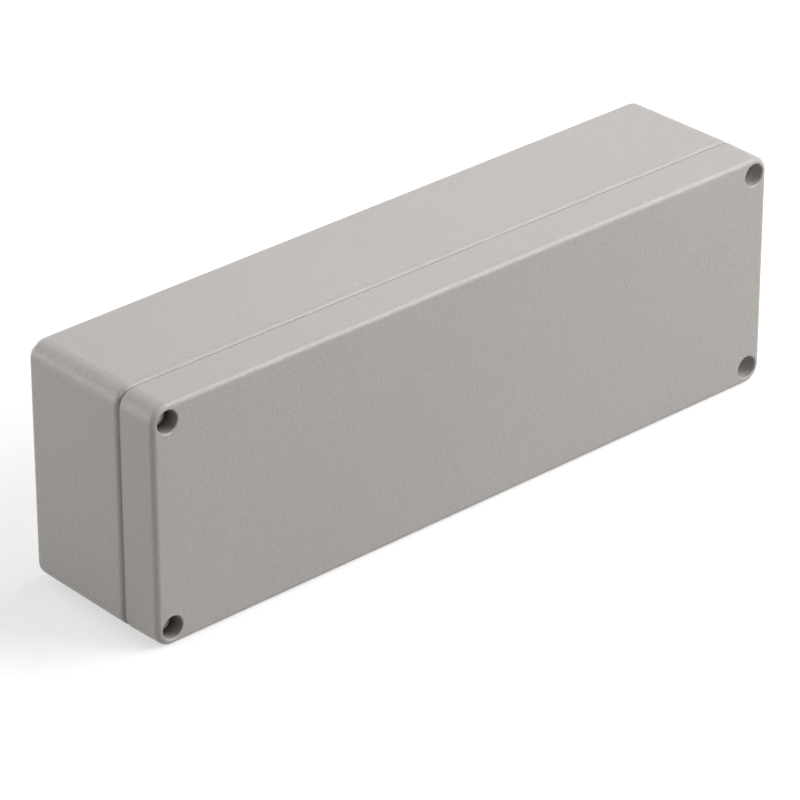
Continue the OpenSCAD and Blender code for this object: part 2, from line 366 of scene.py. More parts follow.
@dataclass(frozen=True)
class PowderCoat(Finish):
    """Semi-gloss powder coat with a fine wrinkle."""

    colour: Colour = (0.413, 0.386, 0.367)
    patch_grain: float = 0.05
    patch_shift: float = 0.012
    wrinkle_grain: float = 0.0015
    wrinkle_layers: float = 2.5
    wrinkle_twist: float = 1.2
    wrinkle_depth: float = 0.00034
    wrinkle_force: float = 0.5
    pebble_grain: float = 0.0014
    pebble_blend: float = 0.9
    pebble_share: float = 1 / 2
    pebble_force: float = 0.4
    fine_grain: float = 0.0004
    fine_share: float = 1 / 6
    fine_force: float = 0.3
    low_rough: float = 0.37
    high_rough: float = 0.49
    # Painted shade: a thin dark line at the joint stands in for the shadow in the gap
    # between the castings.
    joint_shade_line: float = -0.0137
    joint_shade_reach: float = 0.0008
    joint_shade_full: float = 0.0004
    joint_shade: Colour = (0.09, 0.085, 0.08)

    def shade(self, surface: Surface) -> Socket:
        """Colour the coat in slow patches, with painted shade along the joint.

        Args:
            surface: The coat's material.

        Returns:
            The colour.
        """
        dark = tuple(c * (1 - self.patch_shift) for c in self.colour)
        light = tuple(c * (1 + self.patch_shift) for c in self.colour)
        coat = surface.tint(surface.noise(self.patch_grain), dark, light)
        # Paint the shadow of the joint's gap as a dark line on the coat.
        away = surface.away(surface.depth(), self.joint_shade_line)
        reach, full = self.joint_shade_reach, self.joint_shade_full
        return surface.stained(coat, self.joint_shade, away, reach, full)

    def lay(self, surface: Surface) -> None:
        """Spray the coat.

        Args:
            surface: The material.
        """
        surface.colour(self.shade(surface))
        wrinkle = surface.noise(
            self.wrinkle_grain, self.wrinkle_layers, self.wrinkle_twist
        )
        surface.rough(wrinkle, self.low_rough, self.high_rough)
        depth = self.wrinkle_depth
        coat = surface.bump(wrinkle, depth, self.wrinkle_force)
        pebbles = surface.pebbles(self.pebble_grain, self.pebble_blend)
        coat = surface.bump(pebbles, depth * self.pebble_share, self.pebble_force, coat)
        fine = surface.noise(self.fine_grain)
        coat = surface.bump(fine, depth * self.fine_share, self.fine_force, coat)
        surface.relief(coat)


@dataclass(frozen=True)
class RecessCoat(PowderCoat):
    """The same coat in a screw recess, duller, with painted shade that darkens it
    towards its floor.
    """

    low_rough: float = 0.55
    high_rough: float = 0.7
    # Painted shade: the colour that the recess's floor is darkened to.
    deep_shade: Colour = (0.07, 0.066, 0.063)
    mouth: float = -0.0285
    deep: float = -0.0235

    def shade(self, surface: Surface) -> Socket:
        """Paint shade on the coat, darker away from the recess's mouth.

        Args:
            surface: The coat's material.

        Returns:
            The colour.
        """
        coat = super().shade(surface)
        depth = surface.depth()
        # The darkening towards the floor is painted shade.
        return surface.stained(coat, self.deep_shade, depth, self.mouth, self.deep)


@dataclass(frozen=True)
class CastSkin(Finish):
    """Bare die cast aluminium with flow marks and a fine grain."""

    dark: Colour = (0.48, 0.485, 0.49)
    light: Colour = (0.62, 0.62, 0.615)
    flow_grain: float = 0.012
    flow_layers: float = 4.0
    flow_twist: float = 1.5
    flow_stretch: float = 0.35
    low_rough: float = 0.42
    high_rough: float = 0.58
    skin_grain: float = 0.0012
    skin_layers: float = 3.0
    skin_depth: float = 0.00008
    fine_grain: float = 0.0003
    fine_depth: float = 0.00003
    force: float = 0.35

    def lay(self, surface: Surface) -> None:
        """Lay the casting's skin.

        Args:
            surface: The material.
        """
        along = surface.stretched((self.flow_stretch, 1, 1))
        flow = surface.noise(self.flow_grain, self.flow_layers, self.flow_twist, along)
        surface.colour(surface.tint(flow, self.dark, self.light))
        surface.rough(flow, self.low_rough, self.high_rough)
        skin = surface.noise(self.skin_grain, self.skin_layers)
        skin = surface.bump(skin, self.skin_depth, self.force)
        fine = surface.noise(self.fine_grain)
        surface.relief(surface.bump(fine, self.fine_depth, self.force, skin))
        filled(surface.shader, metallic=1.0)


@dataclass(frozen=True)
class MilledMetal(Finish):
    """Milled aluminium with the cutter's fine lines along the box."""

    dark: Colour = (0.66, 0.67, 0.68)
    light: Colour = (0.78, 0.785, 0.79)
    line_grain: float = 0.0003
    line_stretch: float = 0.03
    line_depth: float = 0.00001
    line_force: float = 0.3
    haze_grain: float = 0.01
    low_rough: float = 0.26
    high_rough: float = 0.38

    def lay(self, surface: Surface) -> None:
        """Lay the cutter's lines.

        Args:
            surface: The material.
        """
        along = surface.stretched((self.line_stretch, 1, 1))
        lines = surface.noise(self.line_grain, along=along)
        surface.colour(surface.tint(lines, self.dark, self.light))
        haze = surface.noise(self.haze_grain)
        surface.rough(haze, self.low_rough, self.high_rough)
        surface.relief(surface.bump(lines, self.line_depth, self.line_force))
        filled(surface.shader, metallic=1.0)


@dataclass(frozen=True)
class TurnedMetal(Finish):
    """Turned metal, with the tool's rings about the piece's own axis."""

    dark: Colour = (0.50, 0.495, 0.48)
    light: Colour = (0.70, 0.695, 0.68)
    low_rough: float = 0.2
    high_rough: float = 0.34
    ring_pitch: float = 0.00014 * FULL_TURN
    ring_wobble: float = 1.5
    ring_layers: float = 2.0
    ring_depth: float = 0.000006
    haze_grain: float = 0.0015
    haze_layers: float = 3.0
    fine_grain: float = 0.0004
    fine_depth: float = 0.00001
    force: float = 0.3

    pattern: ClassVar[str] = "UV"
    wave_radians: ClassVar[float] = 20.0

    def lay(self, surface: Surface) -> None:
        """Lay the turned rings and a haze.

        Args:
            surface: The material.
        """
        per_unit = self.wave_radians / FULL_TURN
        rings = surface.add("ShaderNodeTexWave", scale=1 / (self.ring_pitch * per_unit))
        rings.wave_type = "RINGS"
        rings.rings_direction = "Z"
        filled(rings, distortion=self.ring_wobble, detail=self.ring_layers)
        surface.join(surface.place, rings.inputs["Vector"])
        surface.colour(surface.tint(rings.outputs["Fac"], self.dark, self.light))
        surface.place = surface.add("ShaderNodeTexCoord").outputs["Object"]
        haze = surface.noise(self.haze_grain, self.haze_layers)
        surface.rough(haze, self.low_rough, self.high_rough)
        relief = surface.bump(rings.outputs["Fac"], self.ring_depth, self.force)
        fine = surface.noise(self.fine_grain)
        surface.relief(surface.bump(fine, self.fine_depth, self.force, relief))
        filled(surface.shader, metallic=1.0)


@dataclass(frozen=True)
class SealRubber(Finish):
    """Dark moulded rubber with a dusty bloom."""

    dark: Colour = (0.022, 0.022, 0.023)
    light: Colour = (0.045, 0.045, 0.046)
    bloom_grain: float = 0.006
    bloom_layers: float = 4.0
    low_rough: float = 0.62
    high_rough: float = 0.8
    skin_grain: float = 0.0005
    skin_layers: float = 3.0
    skin_depth: float = 0.00004
    skin_force: float = 0.5
    pebble_grain: float = 0.0009
    pebble_blend: float = 0.5
    pebble_share: float = 1 / 2
    pebble_force: float = 0.3

    def lay(self, surface: Surface) -> None:
        """Lay the rubber's skin and bloom.

        Args:
            surface: The material.
        """
        bloom = surface.noise(self.bloom_grain, self.bloom_layers)
        surface.colour(surface.tint(bloom, self.dark, self.light))
        surface.rough(bloom, self.low_rough, self.high_rough)
        skin = surface.noise(self.skin_grain, self.skin_layers)
        skin = surface.bump(skin, self.skin_depth, self.skin_force)
        pebbles = surface.pebbles(self.pebble_grain, self.pebble_blend)
        depth = self.skin_depth * self.pebble_share
        surface.relief(surface.bump(pebbles, depth, self.pebble_force, skin))


@dataclass(frozen=True)
class NaturalNylon(Finish):
    """Milky nylon that lets a little light in."""

    dark: Colour = (0.70, 0.68, 0.60)
    light: Colour = (0.80, 0.78, 0.71)
    cloud_grain: float = 0.002
    cloud_layers: float = 3.0
    low_rough: float = 0.36
    high_rough: float = 0.5
    fine_grain: float = 0.0004
    fine_depth: float = 0.00002
    fine_force: float = 0.35
    milk: float = 0.2
    milk_depth: float = 0.001

    def lay(self, surface: Surface) -> None:
        """Lay the nylon's clouds.

        Args:
            surface: The material.
        """
        cloud = surface.noise(self.cloud_grain, self.cloud_layers)
        surface.colour(surface.tint(cloud, self.dark, self.light))
        surface.rough(cloud, self.low_rough, self.high_rough)
        fine = surface.noise(self.fine_grain)
        surface.relief(surface.bump(fine, self.fine_depth, self.fine_force))
        filled(
            surface.shader,
            subsurface_weight=self.milk,
            subsurface_scale=self.milk_depth,
        )


# Pieces that are modelled again


def corners_of(made: list) -> list[bmesh.types.BMVert]:
    """Return the corners among the things that an operator made."""
    return [item for item in made if isinstance(item, bmesh.types.BMVert)]


def cut(mesh: Mesh, point: Vector, normal: Vector) -> None:
    """Cut the faces of a mesh where a plane crosses them.

    Args:
        mesh: The mesh.
        point: A point of the plane.
        normal: The plane's direction.
    """
    bmesh.ops.bisect_plane(
        mesh,
        geom=mesh.verts[:] + mesh.edges[:] + mesh.faces[:],
        plane_co=point,
        plane_no=normal,
        dist=WELD,
    )


def turned(profile: Profile, steps: int) -> Mesh:
    """Turn a profile about the upward axis.

    Args:
        profile: Radius and height of each corner, in millimetres.
        steps: Number of facets round the piece.

    Returns:
        The closed shape.
    """
    mesh = bmesh.new()
    corners = [mesh.verts.new((radius, 0, height)) for radius, height in profile]
    lines = [mesh.edges.new(pair) for pair in zip(corners, corners[1:])]
    bmesh.ops.spin(
        mesh,
        geom=corners + lines,
        cent=(0, 0, 0),
        axis=(0, 0, 1),
        angle=FULL_TURN,
        steps=steps,
        use_merge=True,
    )
    bmesh.ops.remove_doubles(mesh, verts=mesh.verts[:], dist=WELD)
    bmesh.ops.recalc_face_normals(mesh, faces=mesh.faces[:])
    return mesh


def wound(
    mesh: Mesh,
    profile: Profile,
    turns: float,
    rise: float,
    steps: int,
    start: float = 0.0,
) -> None:
    """Wind a closed profile about the upward axis, and close its ends.

    Args:
        mesh: The mesh to add the winding to.
        profile: Radius and height of each corner, in millimetres.
        turns: Number of turns.
        rise: Rise of each turn, in millimetres.
        steps: Number of facets in a turn.
        start: Angle of the first end, in radians.
    """
    before = set(mesh.faces)
    corners = [mesh.verts.new((radius, 0, height)) for radius, height in profile]
    bmesh.ops.rotate(
        mesh, cent=(0, 0, 0), matrix=Matrix.Rotation(start, 3, "Z"), verts=corners
    )
    lines = [
        mesh.edges.new((corners[k - 1], corners[k])) for k in range(len(corners))
    ]
    count = round(turns * steps)
    bmesh.ops.contextual_create(mesh, geom=corners)
    swept = bmesh.ops.spin(
        mesh,
        geom=corners + lines,
        cent=(0, 0, 0),
        axis=(0, 0, 1),
        dvec=(0, 0, rise / steps),
        angle=turns * FULL_TURN,
        steps=count,
    )
    bmesh.ops.contextual_create(mesh, geom=corners_of(swept["geom_last"]))
    made = [face for face in mesh.faces if face not in before]
    bmesh.ops.recalc_face_normals(mesh, faces=made)


def slotted(mesh: Mesh, width: float, depth: float, top: float) -> None:
    """Cut a driving slot across the top of a turned head.

    Args:
        mesh: The head, upright about its axis.
        width: Width of the slot, in millimetres.
        depth: Depth of the slot, in millimetres.
        top: Height of the head's top, in millimetres.
    """
    half, floor = width / 2, top - depth
    cut(mesh, Vector((0, half, 0)), Vector((0, 1, 0)))
    cut(mesh, Vector((0, -half, 0)), Vector((0, 1, 0)))
    cut(mesh, Vector((0, 0, floor)), Vector((0, 0, 1)))
    waste = [
        face
        for face in mesh.faces
        if abs(face.calc_center_median().y) < half
        and face.calc_center_median().z > floor + WELD
    ]
    bmesh.ops.delete(mesh, geom=waste, context="FACES")
    walls = [
        [v for v in mesh.verts if abs(v.co.y - side) < WELD and v.co.z > floor - WELD]
        for side in (half, -half)
    ]
    bed = [
        v
        for v in mesh.verts
        if abs(v.co.z - floor) < WELD and abs(v.co.y) < half + WELD
    ]
    for corners in (*walls, bed):
        bmesh.ops.contextual_create(mesh, geom=corners)
    bmesh.ops.recalc_face_normals(mesh, faces=mesh.faces[:])


@dataclass
class Cross:
    """Cross recess that narrows towards its floor."""

    reach: float = 4.4
    foot: float = 2.2
    width: float = 0.9
    depth: float = 1.7

    def holds(self, at: Vector) -> bool:
        """Tell whether a point lies in the cross."""
        short, long = sorted((abs(at.x), abs(at.y)))
        return short < self.width / 2 and long < self.reach / 2

    def sink(self, mesh: Mesh, top: float) -> None:
        """Sink the recess into the top of a turned head.

        Args:
            mesh: The head, upright about its axis.
            top: Height of the head's top, in millimetres.
        """
        for side in (self.width / 2, -self.width / 2, self.reach / 2, -self.reach / 2):
            for across in (Vector((1, 0, 0)), Vector((0, 1, 0))):
                cut(mesh, side * across, across)
        mesh.normal_update()
        mouth = [
            face
            for face in mesh.faces
            if face.normal.z > ALIGNED and self.holds(face.calc_center_median())
        ]
        sunk = bmesh.ops.extrude_face_region(mesh, geom=mouth)["geom"]
        shrink = self.foot / self.reach
        bmesh.ops.scale(
            mesh,
            vec=(shrink, shrink, 0),
            space=Matrix.Translation((0, 0, self.depth - top)),
            verts=corners_of(sunk),
        )
        bmesh.ops.delete(
            mesh, geom=[face for face in mouth if face.is_valid], context="FACES_ONLY"
        )
        bmesh.ops.recalc_face_normals(mesh, faces=mesh.faces[:])


@dataclass
class Axis:
    """Where a turned piece stands: its foot's place, and its direction."""

    foot: Vector
    facing: Facing

    @classmethod
    def of(cls, node: str, facing: Facing) -> "Axis":
        """Find the axis of a round CAD node.

        Args:
            node: The node's name.
            facing: Direction of its upper end.

        Returns:
            The axis from the node's lower end.
        """
        low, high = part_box(node)
        middle = (low + high) / 2
        middle.y = high.y if facing is Facing.FRONT else low.y
        return cls(middle, facing)

    def matrix(self) -> Matrix:
        """Return the move from upright millimetres into the box."""
        turn = Matrix.Rotation(-QUARTER * self.facing.value, 4, "X")
        return Matrix.Translation(self.foot) @ turn @ Matrix.Scale(MM, 4)


@dataclass
class Piece(ABC):
    """A piece that is modelled again in place of its CAD node."""

    node: str
    body: str
    facing: Facing = Facing.FRONT

    slot: ClassVar[Slot] = Slot.STEEL
    edge_break: ClassVar[float] = 0.06
    edge_segments: ClassVar[int] = 2
    smooth_below: ClassVar[float] = math.radians(35)

    @abstractmethod
    def shape(self) -> Mesh:
        """Return the piece, upright, in millimetres."""

    def matrix(self) -> Matrix:
        """Return the move from upright millimetres to the node's place."""
        return Axis.of(self.node, self.facing).matrix()

    def build(self) -> bpy.types.Object:
        """Build the piece in place of its node.

        Returns:
            The piece's object.
        """
        mesh = self.shape()
        rings = mesh.loops.layers.uv.new("rings")
        for face in mesh.faces:
            for loop in face.loops:
                loop[rings].uv = loop.vert.co.xy * MM
        bmesh.ops.transform(mesh, matrix=self.matrix(), verts=mesh.verts[:])
        data = bpy.data.meshes.new(f"{self.node}_made")
        mesh.to_mesh(data)
        mesh.free()
        data.shade_smooth()
        data.set_sharp_from_angle(angle=self.smooth_below)
        made = placed(f"{self.node}_made", data)
        if self.edge_break:
            worn = made.modifiers.new("edge_break", "BEVEL")
            worn.width = self.edge_break * MM
            worn.segments = self.edge_segments
            worn.limit_method = "ANGLE"
            worn.angle_limit = self.smooth_below
            worn.harden_normals = True
        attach(made, self.body)
        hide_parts(self.node)
        LOG.info("%s: %d faces", made.name, len(data.polygons))
        return made

    def dress(self, made: bpy.types.Object, finish: Material) -> None:
        """Give the piece its finish."""
        made.data.materials.append(finish)


@dataclass
class Screw(Piece):
    """Screw that is turned with a domed head, and threaded."""

    head_diameter: float = 7.0
    head_height: float = 2.6
    head_crown: float = 0.15
    rim_round: tuple[Pair, ...] = ((0, 0.45), (0.12, 0.2), (0.4, 0))
    dome_share: float = 0.5
    dome_fall: float = 0.03
    thread_diameter: float = 4.0
    root_diameter: float = 3.14
    thread_pitch: float = 0.7
    thread_root: float = 0.04
    thread_crest: Pair = (0.43, 0.57)
    thread_steps: int = 36
    round_steps: int = 72

    def head(self, top: float) -> Profile:
        """Draw the profile over the head, from its rim to its middle.

        Args:
            top: Height of the head's top, in millimetres.

        Returns:
            The profile.
        """
        rim = self.head_diameter / 2
        shoulder = top - self.head_crown
        return [
            *((rim - inwards, shoulder - down) for inwards, down in self.rim_round),
            (rim * self.dome_share, top - self.dome_fall),
            (0, top),
        ]

    def thread(self, mesh: Mesh, length: float) -> None:
        """Wind the thread on the screw's core.

        Args:
            mesh: The screw, upright about its axis.
            length: Length of the wound part, in millimetres.
        """
        crest, pitch = self.thread_diameter / 2, self.thread_pitch
        root = self.root_diameter / 2 - self.thread_root
        low, high = self.thread_crest
        ridge = [(root, 0), (crest, low * pitch), (crest, high * pitch), (root, pitch)]
        wound(mesh, ridge, length / pitch, pitch, self.thread_steps)


@dataclass
class LidScrew(Screw):
    """Captive cheese head screw with a cross recess and a thin neck."""

    neck_diameter: float = 3.0
    thread_length: float = 8.0
    thread_runout: float = 1.4
    length: float = 25.1
    tip_bevel: float = 0.5
    neck_slope: float = 0.1
    neck_fillet: float = 0.15
    turn: float = math.radians(-37)

    def shape(self) -> Mesh:
        """Turn the screw, sink its recess and wind its thread.

        Returns:
            The screw.
        """
        top, seat = self.length, self.length - self.head_height
        neck, core = self.neck_diameter / 2, self.root_diameter / 2
        stem = [
            (0, 0),
            (core - self.tip_bevel, 0),
            (core, self.tip_bevel),
            (core, self.thread_length - self.neck_slope),
            (neck, self.thread_length + self.neck_slope),
            (neck, seat - self.neck_fillet),
            (neck + self.neck_fillet, seat),
            (self.head_diameter / 2, seat),
        ]
        mesh = turned(stem + self.head(top), self.round_steps)
        Cross().sink(mesh, top)
        self.thread(mesh, self.thread_length - self.thread_runout)
        return mesh

    def matrix(self) -> Matrix:
        """Stand the screw in its post, turned as far as it was driven."""
        return super().matrix() @ Matrix.Rotation(self.turn, 4, "Z")


@dataclass
class Washer(Piece):
    """Plain turned washer with broken edges."""

    outer: float = 9.0
    inner: float = 4.5
    thickness: float = 0.8
    chamfer: float = 0.12
    round_steps: int = 72

    def shape(self) -> Mesh:
        """Turn the washer's section.

        Returns:
            The washer.
        """
        out, hole = self.outer / 2, self.inner / 2
        top, cut = self.thickness, self.chamfer
        section = [
            (hole, cut),
            (hole + cut, 0),
            (out - cut, 0),
            (out, cut),
            (out, top - cut),
            (out - cut, top),
            (hole + cut, top),
            (hole, top - cut),
            (hole, cut),
        ]
        return turned(section, self.round_steps)


@dataclass
class CaptiveWasher(Washer):
    """Nylon washer that keeps a lid screw in the lid."""

    outer: float = 7.5
    inner: float = 3.16
    thickness: float = 1.0
    chamfer: float = 0.2

    slot = Slot.NYLON


@dataclass
class EarthWasher(Washer):
    """Brass washer of an earth terminal."""

    slot = Slot.BRASS


@dataclass
class SpringWasher(Piece):
    """Split spring washer, pressed nearly flat."""

    outer: float = 7.6
    inner: float = 4.5
    thickness: float = 0.9
    lift: float = 0.12
    gap: float = 0.8
    gap_lean: float = 0.12
    steps: int = 96

    edge_break = 0.05

    def shape(self) -> Mesh:
        """Wind one turn, short of the split, and slant its two ends.

        Returns:
            The washer.
        """
        mesh = bmesh.new()
        out, hole, top = self.outer / 2, self.inner / 2, self.thickness - self.lift
        split = self.gap / ((out + hole) / 2)
        wound(
            mesh,
            [(hole, 0), (out, 0), (out, top), (hole, top)],
            1 - split / FULL_TURN,
            self.lift,
            self.steps,
            split / 2,
        )
        mesh.normal_update()
        for face in mesh.faces:
            middle = face.calc_center_median()
            if abs(face.normal.y) > ALIGNED and abs(middle.y) < self.gap:
                for corner in face.verts:
                    rise = corner.co.z - middle.z
                    corner.co.y += math.copysign(self.gap_lean, rise)
        return mesh

    def matrix(self) -> Matrix:
        """Lay the washer where its node lies.

        Returns:
            The move from upright millimetres into the box.
        """
        low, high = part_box(self.node)
        foot = Vector((low.x + self.outer / 2 * MM, 0, (low.z + high.z) / 2))
        foot.y = high.y if self.facing is Facing.FRONT else low.y
        return Axis(foot, self.facing).matrix()


@dataclass
class EarthScrew(Screw):
    """Slotted screw of an earth terminal."""

    head_diameter: float = 8.0
    head_height: float = 2.4
    head_crown: float = 0.3
    rim_round: tuple[Pair, ...] = ((0, 0.7), (0.15, 0.35), (0.5, 0))
    dome_share: float = 0.55
    dome_fall: float = 0.06
    length: float = 8.0
    tip_bevel: float = 0.4
    thread_runout: float = 1.2
    slot_width: float = 1.2
    slot_depth: float = 1.1

    def shape(self) -> Mesh:
        """Turn the screw, cut its slot and wind its thread.

        Returns:
            The screw.
        """
        top, core = self.length + self.head_height, self.root_diameter / 2
        stem = [
            (0, 0),
            (core - self.tip_bevel, 0),
            (core, self.tip_bevel),
            (core, self.length),
            (self.head_diameter / 2, self.length),
        ]
        mesh = turned(stem + self.head(top), self.round_steps)
        slotted(mesh, self.slot_width, self.slot_depth, top)
        self.thread(mesh, self.length - self.thread_runout)
        return mesh


@dataclass
class Seal(Piece):
    """Rubber seal in the lid's groove, marked by the base's rib."""

    middle_line: Pair = (108.0, 32.0)
    stretch_line: Pair = (117.0, 15.0)
    post_axis: Pair = (116.5, 23.5)
    inner: float = 3.2
    outer: float = 6.2
    rib: Pair = (4.0, 5.4)
    foot: float = 43.4
    height: float = 2.0
    bulge: float = 0.12
    rib_slope: float = 0.12
    rib_swell: float = 0.8
    rib_mark: float = 0.02
    corner: float = 0.3
    turn_steps: int = 16

    slot = Slot.SEAL
    edge_break = 0.0
    smooth_below = math.radians(50)

    def section(self) -> Profile:
        """Draw the seal's section.

        Returns:
            Its corners, outwards and up.
        """
        low, high, soft = self.foot, self.foot + self.height, self.corner
        near, far = self.rib
        slope, swell = self.rib_slope, self.bulge * self.rib_swell
        return [
            (self.inner, low + soft),
            (self.inner + soft / 3, low),
            (self.inner + soft, low - self.bulge),
            (near - slope, low - swell),
            (near, low + self.rib_mark),
            (far, low + self.rib_mark),
            (far + slope, low - swell),
            (self.outer - soft, low - self.bulge),
            (self.outer - soft / 3, low),
            (self.outer, low + soft),
            (self.outer, high - soft),
            (self.outer - soft, high),
            (self.inner + soft, high),
            (self.inner, high - soft),
        ]

    def shape(self) -> Mesh:
        """Sweep a quarter of the seal, and mirror it twice.

        Returns:
            The seal.
        """
        mesh = bmesh.new()
        start_y = self.middle_line[1]
        ring = [mesh.verts.new((0, start_y + out, up)) for out, up in self.section()]
        front = ring + [
            mesh.edges.new((ring[k - 1], ring[k])) for k in range(len(ring))
        ]
        front = self._run(mesh, front, (self.middle_line[0], 0))
        front = self._turn(mesh, front, self.middle_line, -QUARTER)
        front = self._run(mesh, front, (0, self.post_axis[1] - start_y))
        front = self._turn(mesh, front, self.post_axis, QUARTER)
        front = self._run(mesh, front, (self.stretch_line[0] - self.post_axis[0], 0))
        front = self._turn(mesh, front, self.stretch_line, -QUARTER)
        self._run(mesh, front, (0, -self.stretch_line[1]))
        for axis in "XY":
            bmesh.ops.mirror(
                mesh,
                geom=mesh.verts[:] + mesh.edges[:] + mesh.faces[:],
                matrix=Matrix.Identity(4),
                axis=axis,
                merge_dist=WELD,
            )
        bmesh.ops.remove_doubles(mesh, verts=mesh.verts[:], dist=WELD)
        bmesh.ops.recalc_face_normals(mesh, faces=mesh.faces[:])
        return mesh

    def _run(self, mesh: Mesh, front: Front, way: Pair) -> Front:
        """Carry the section on in a straight line.

        Args:
            mesh: The seal's mesh.
            front: The section's corners and edges.
            way: The way to go, in millimetres.

        Returns:
            The section at the far end.
        """
        edges = [item for item in front if isinstance(item, bmesh.types.BMEdge)]
        made = bmesh.ops.extrude_edge_only(mesh, edges=edges)["geom"]
        corners = corners_of(made)
        bmesh.ops.translate(mesh, vec=(*way, 0), verts=corners)
        held = set(corners)
        return corners + [
            item
            for item in made
            if isinstance(item, bmesh.types.BMEdge) and held.issuperset(item.verts)
        ]

    def _turn(
        self, mesh: Mesh, front: Front, centre: Pair, angle: float
    ) -> Front:
        """Carry the section round a corner.

        Args:
            mesh: The seal's mesh.
            front: The section's corners and edges.
            centre: The corner's centre, in millimetres.
            angle: The corner's angle, in radians.

        Returns:
            The section after the corner.
        """
        swept = bmesh.ops.spin(
            mesh,
            geom=front,
            cent=(*centre, 0),
            axis=(0, 0, 1),
            angle=angle,
            steps=self.turn_steps,
        )
        return swept["geom_last"]

    def matrix(self) -> Matrix:
        """Stand the seal up with the box."""
        return Bench.matrix()


# Castings


class Bench:
    """The box as it was drawn: lying on its back, lid up, in millimetres."""

    depth: ClassVar[float] = 57.0
    width: ClassVar[float] = 80.0

    @classmethod
    def matrix(cls) -> Matrix:
        """Return the move from the bench into the standing box."""
        place = Matrix.Translation((0, cls.depth / 2 * MM, cls.width / 2 * MM))
        return place @ Matrix.Rotation(QUARTER, 4, "X") @ Matrix.Scale(MM, 4)

    @classmethod
    def point(cls, at: Vector) -> Vector:
        """Return a point of the standing box on the bench."""
        return cls.matrix().inverted() @ at


class Skin(Enum):
    """What a face of a casting is covered with."""

    PAINT = 0
    CAST = 1
    MILLED = 2
    # The left recess skin carries painted shade towards its floor; the right one hardly
    # any.
    LEFT_RECESS = 3
    RIGHT_RECESS = 4


@dataclass
class Casting(ABC):
    """A casting that keeps its CAD node and gets its skins."""

    node: str
    joint: float = 42.0
    post_x: float = 119.0
    screw_y: float = 34.0
    fixing_y: float = 26.0
    chamber: Pair = (121.0, 36.0)
    near: float = 0.02

    @abstractmethod
    def skin_at(self, at: Vector) -> Skin:
        """Tell the skin of a face from its middle on the bench."""

    def off_axis(self, at: Vector, across: float) -> float:
        """Return the distance from the nearest hole's axis."""
        return math.hypot(abs(at.x) - self.post_x, abs(at.y) - across)

    def inside(self, at: Vector, grown: float = 0.0) -> bool:
        """Tell whether a face is in the hollow.

        Args:
            at: The face's middle, on the bench.
            grown: How much larger the hollow is.

        Returns:
            True inside the hollow.
        """
        reach = grown + self.near
        past_post = abs(at.x) > self.post_x and abs(at.y) > self.screw_y
        return (
            not past_post
            and abs(at.x) < self.chamber[0] + reach
            and abs(at.y) < self.chamber[1] + reach
        )

    def dress(self, skins: list[Material]) -> None:
        """Cover the casting.

        Args:
            skins: One material for each skin, in the order of Skin.
        """
        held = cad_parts[self.node].data
        held.materials.clear()
        for skin in skins:
            held.materials.append(skin)
        for face in held.polygons:
            face.material_index = self.skin_at(Bench.point(face.center)).value
        LOG.info("%s: %d faces", self.node, len(held.polygons))


@dataclass
class BaseCasting(Casting):
    """The base, coated outside, with a milled rim."""

    channel_reach: float = 4.45
    screw_hole_reach: float = 2.75
    floor: float = 3.5

    def skin_at(self, at: Vector) -> Skin:
        """Tell a face's skin: milled rim and holes, cast inside.

        Args:
            at: The face's middle, on the bench.

        Returns:
            The skin.
        """
        if at.z < self.near:
            return Skin.PAINT
        if at.z > self.joint - self.near:
            return Skin.MILLED
        if self.off_axis(at, self.screw_y) < self.screw_hole_reach:
            return Skin.MILLED
        if self.off_axis(at, self.fixing_y) < self.channel_reach:
            return Skin.CAST
        if self.inside(at) and at.z > self.floor - self.near:
            return Skin.CAST
        return Skin.PAINT


@dataclass
class LidCasting(Casting):
    """The lid, coated outside and in its screw recesses."""

    recess: float = 3.75
    recess_break: float = 0.5
    recess_floor: float = 49.3
    bore_reach: float = 3.85
    face_inside: float = 53.5
    groove_reach: float = 2.3

    def skin_at(self, at: Vector) -> Skin:
        """Tell a face's skin: milled underside, cast inside and in the groove.

        Args:
            at: The face's middle, on the bench.

        Returns:
            The skin.
        """
        if at.z < self.joint + self.near:
            return Skin.MILLED
        off = self.off_axis(at, self.screw_y)
        above_seat = at.z > self.recess_floor - self.near
        if above_seat and off < self.recess + self.recess_break:
            if off > self.recess + self.near:
                return Skin.PAINT
            # Left recesses get the coat with painted shade, right ones nearly the clean
            # coat.
            return Skin.LEFT_RECESS if at.x < 0 else Skin.RIGHT_RECESS
        if off < self.bore_reach:
            return Skin.MILLED
        open_in = self.inside(at, self.groove_reach)
        if not open_in or at.z > self.face_inside + self.near:
            return Skin.PAINT
        return Skin.CAST


# Studio


@dataclass
class SoftBox:
    """A soft lamp that faces the box."""

    name: str
    around: float
    above: float
    light: float
    distance: float = 1.3
    size: Pair = (0.6, 0.6)
    target: tuple[float, float, float] = (0.0, 0.0, 0.04)

    def build(self) -> None:
        """Hang the lamp, turned round from the front and up from the floor.

        Its light is the share of full brightness that it gives.
        """
        lamp = bpy.data.lights.new(self.name, "AREA")
        lamp.shape = "RECTANGLE"
        lamp.size, lamp.size_y = self.size
        lamp.energy = self.light * 4 * math.pi * self.distance**2
        hung = placed(self.name, lamp)
        turn = Matrix.Rotation(math.radians(self.around), 3, "Z") @ Matrix.Rotation(
            QUARTER - math.radians(self.above), 3, "X"
        )
        hung.location = Vector(self.target) + turn @ Vector((0, 0, self.distance))
        hung.rotation_mode = "QUATERNION"
        hung.rotation_quaternion = turn.to_quaternion()
        hung.visible_camera = False
        LOG.info("%s at %s", self.name, tuple(round(c, 2) for c in hung.location))


